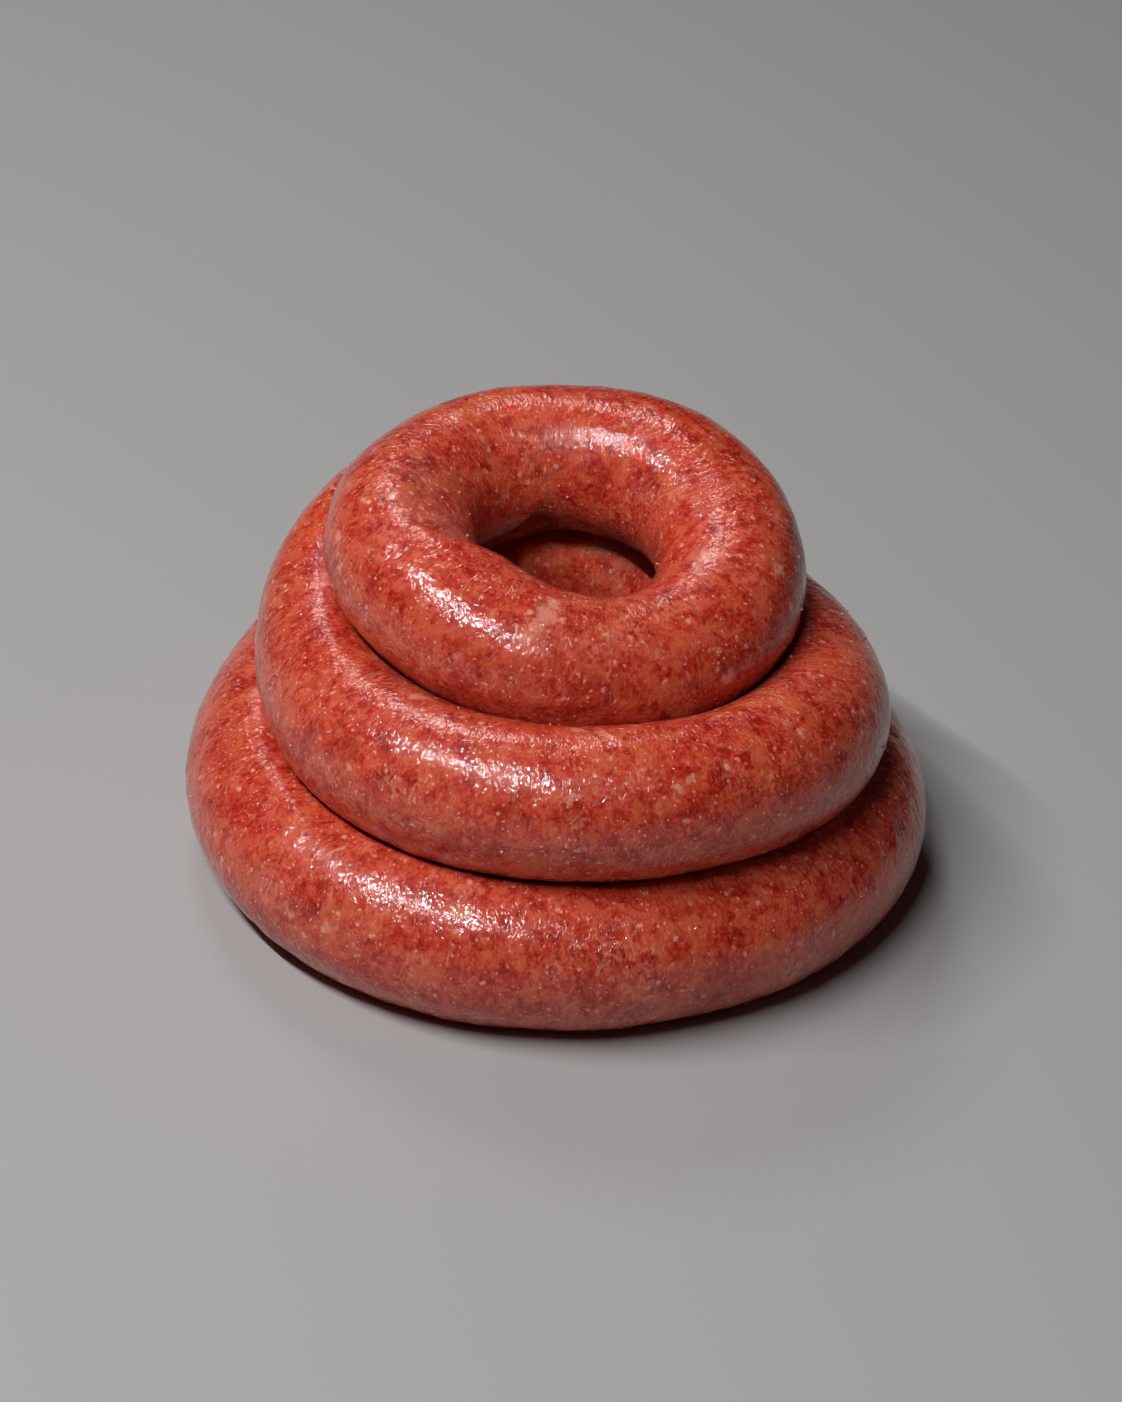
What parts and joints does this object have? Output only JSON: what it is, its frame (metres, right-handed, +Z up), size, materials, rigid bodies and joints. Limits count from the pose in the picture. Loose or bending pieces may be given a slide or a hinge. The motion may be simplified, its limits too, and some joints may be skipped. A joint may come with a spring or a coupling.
{
  "type": "coiled fresh sausage",
  "caption": "Raw fresh sausage in one long natural casing, coiled on itself into a stack of three narrowing turns with an open well down the middle.",
  "frame": {"origin": "middle of the bounding box at the table, under the coil", "axes": "+Z up out of the table, -Y towards the front that the picture shows, +X to the right seen from the front"},
  "size_m": [0.1568, 0.1447, 0.0886],
  "materials": {
    "raw_sausage": "wet glossy natural casing over coarse raw mince, salmon red with pale fat flecks and dark red specks"
  },
  "bodies": {
    "root": {"sausage_rope": "raw_sausage"}
  },
  "joints": []
}
